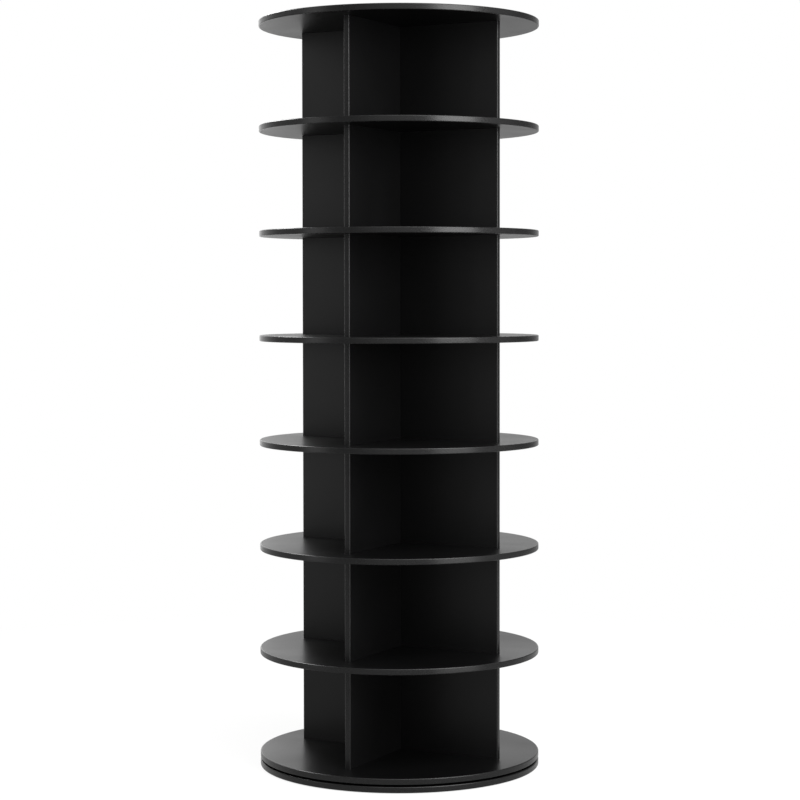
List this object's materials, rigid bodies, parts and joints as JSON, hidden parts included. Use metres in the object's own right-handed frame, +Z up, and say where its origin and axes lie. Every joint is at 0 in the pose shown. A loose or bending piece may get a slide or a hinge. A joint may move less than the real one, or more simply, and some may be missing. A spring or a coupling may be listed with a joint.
{
  "type": "rotating shoe tower",
  "caption": "Tall round shoe tower: cross-shaped dividers between round shelves make quarter bays, and it turns on a roller ring over a round base.",
  "frame": {"origin": "on the turning axis, at the floor under the glide pads", "axes": "+Z up along the turning axis, +X along the long dividers, -Y along the front dividers"},
  "size_m": [0.5999, 0.6, 1.5968],
  "materials": {
    "black_board": "satin black laminate on particle board, with matching edge band",
    "beech": "planed, not varnished",
    "zinc_steel": "bright zinc plate",
    "nylon": "natural moulded nylon",
    "felt": "pressed wool felt"
  },
  "bodies": {
    "base": {"base_disc": "black_board", "glide_pads": "felt", "lower_track": "zinc_steel", "centre_pivot": "zinc_steel"},
    "tower": {"upper_track": "zinc_steel", "track_screws": "zinc_steel", "bottom_disc": "black_board", "shelf_disc_1": "black_board", "shelf_disc_2": "black_board", "shelf_disc_3": "black_board", "shelf_disc_4": "black_board", "shelf_disc_5": "black_board", "shelf_disc_6": "black_board", "top_disc": "black_board", "long_divider_1": "black_board", "long_divider_2": "black_board", "long_divider_3": "black_board", "long_divider_4": "black_board", "long_divider_5": "black_board", "long_divider_6": "black_board", "long_divider_7": "black_board", "front_divider_1": "black_board", "front_divider_2": "black_board", "front_divider_3": "black_board", "front_divider_4": "black_board", "front_divider_5": "black_board", "front_divider_6": "black_board", "front_divider_7": "black_board", "rear_divider_1": "black_board", "rear_divider_2": "black_board", "rear_divider_3": "black_board", "rear_divider_4": "black_board", "rear_divider_5": "black_board", "rear_divider_6": "black_board", "rear_divider_7": "black_board", "shelf_tenons": "beech", "end_tenons": "beech", "cross_tenons": "beech"},
    "roller_ring": {"roller_cage": "nylon"},
    "roller_1": {"roller_1": "zinc_steel"},
    "roller_2": {"roller_2": "zinc_steel"},
    "roller_3": {"roller_3": "zinc_steel"},
    "roller_4": {"roller_4": "zinc_steel"},
    "roller_5": {"roller_5": "zinc_steel"},
    "roller_6": {"roller_6": "zinc_steel"}
  },
  "joints": [
    {"name": "tower_spin", "type": "hinge", "parent": "base", "child": "tower", "pos_m": [0, 0, 0.0182], "axis": [0, 0, 1], "continuous": true},
    {"name": "cage_spin", "type": "hinge", "parent": "base", "child": "roller_ring", "pos_m": [0, 0, 0.01405], "axis": [0, 0, 1], "continuous": true},
    {"name": "roller_1_spin", "type": "hinge", "parent": "roller_ring", "child": "roller_1", "pos_m": [0.134, 0, 0.01405], "axis": [1, 0, 0], "continuous": true},
    {"name": "roller_2_spin", "type": "hinge", "parent": "roller_ring", "child": "roller_2", "pos_m": [0.067, 0.11605, 0.01405], "axis": [0.5, 0.866, 0], "continuous": true},
    {"name": "roller_3_spin", "type": "hinge", "parent": "roller_ring", "child": "roller_3", "pos_m": [-0.067, 0.11605, 0.01405], "axis": [-0.5, 0.866, 0], "continuous": true},
    {"name": "roller_4_spin", "type": "hinge", "parent": "roller_ring", "child": "roller_4", "pos_m": [-0.134, 0, 0.01405], "axis": [-1, 0, 0], "continuous": true},
    {"name": "roller_5_spin", "type": "hinge", "parent": "roller_ring", "child": "roller_5", "pos_m": [-0.067, -0.11605, 0.01405], "axis": [-0.5, -0.866, 0], "continuous": true},
    {"name": "roller_6_spin", "type": "hinge", "parent": "roller_ring", "child": "roller_6", "pos_m": [0.067, -0.11605, 0.01405], "axis": [0.5, -0.866, 0], "continuous": true}
  ],
  "couplings": [
    {"joint": "cage_spin", "follows": "tower_spin", "ratio": 0.5},
    {"joint": "roller_1_spin", "follows": "tower_spin", "ratio": -26.8},
    {"joint": "roller_2_spin", "follows": "tower_spin", "ratio": -26.8},
    {"joint": "roller_3_spin", "follows": "tower_spin", "ratio": -26.8},
    {"joint": "roller_4_spin", "follows": "tower_spin", "ratio": -26.8},
    {"joint": "roller_5_spin", "follows": "tower_spin", "ratio": -26.8},
    {"joint": "roller_6_spin", "follows": "tower_spin", "ratio": -26.8}
  ]
}
